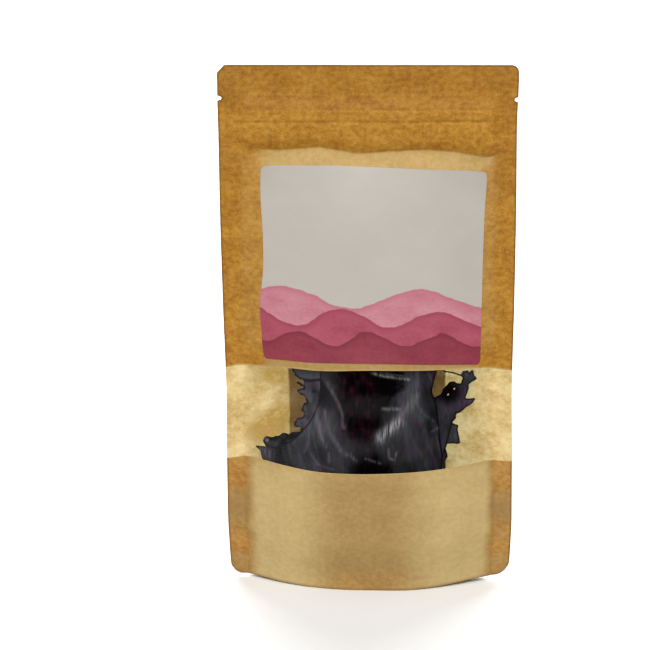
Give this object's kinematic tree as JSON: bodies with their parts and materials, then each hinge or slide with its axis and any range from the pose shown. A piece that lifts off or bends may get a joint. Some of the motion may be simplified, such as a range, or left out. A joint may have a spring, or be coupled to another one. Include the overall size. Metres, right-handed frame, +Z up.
{
  "type": "stand-up pouch of dried dulse",
  "caption": "Closed stand-up kraft paper pouch with a clear window strip across its front, filled with crumpled blades of dried dulse seaweed.",
  "frame": {"origin": "on the floor, under the middle of the pouch", "axes": "+Z up, +X to the right as seen from the front, front panel towards -Y"},
  "size_m": [0.13, 0.0461, 0.23],
  "materials": {
    "front_film": "clear glossy film",
    "front_paper_upper": "brown kraft paper laminated over film",
    "front_paper_lower": "brown kraft paper laminated over film",
    "back_panel": "brown kraft paper laminated over film",
    "bottom_gusset": "brown kraft paper laminated over film",
    "zip_track_front": "translucent polyethylene",
    "zip_track_back": "translucent polyethylene",
    "front_label": "off-white matt label paper",
    "back_label": "off-white matt label paper",
    "dulse_blade_01": "dry, crumpled, slightly waxy",
    "dulse_blade_02": "dry, crumpled, slightly waxy",
    "dulse_blade_03": "dry, crumpled, slightly waxy",
    "dulse_blade_04": "dry, crumpled, slightly waxy",
    "dulse_blade_05": "dry, crumpled, slightly waxy",
    "dulse_blade_06": "dry, crumpled, slightly waxy",
    "dulse_blade_07": "dry, crumpled, slightly waxy",
    "dulse_blade_08": "dry, crumpled, slightly waxy",
    "dulse_blade_09": "dry, crumpled, slightly waxy",
    "dulse_blade_10": "dry, crumpled, slightly waxy"
  },
  "bodies": {
    "root": {"front_film": "front_film", "front_paper_upper": "front_paper_upper", "front_paper_lower": "front_paper_lower", "back_panel": "back_panel", "bottom_gusset": "bottom_gusset", "zip_track_front": "zip_track_front", "zip_track_back": "zip_track_back", "front_label": "front_label", "back_label": "back_label", "dulse_blade_01": "dulse_blade_01", "dulse_blade_02": "dulse_blade_02", "dulse_blade_03": "dulse_blade_03", "dulse_blade_04": "dulse_blade_04", "dulse_blade_05": "dulse_blade_05", "dulse_blade_06": "dulse_blade_06", "dulse_blade_07": "dulse_blade_07", "dulse_blade_08": "dulse_blade_08", "dulse_blade_09": "dulse_blade_09", "dulse_blade_10": "dulse_blade_10"}
  },
  "joints": []
}
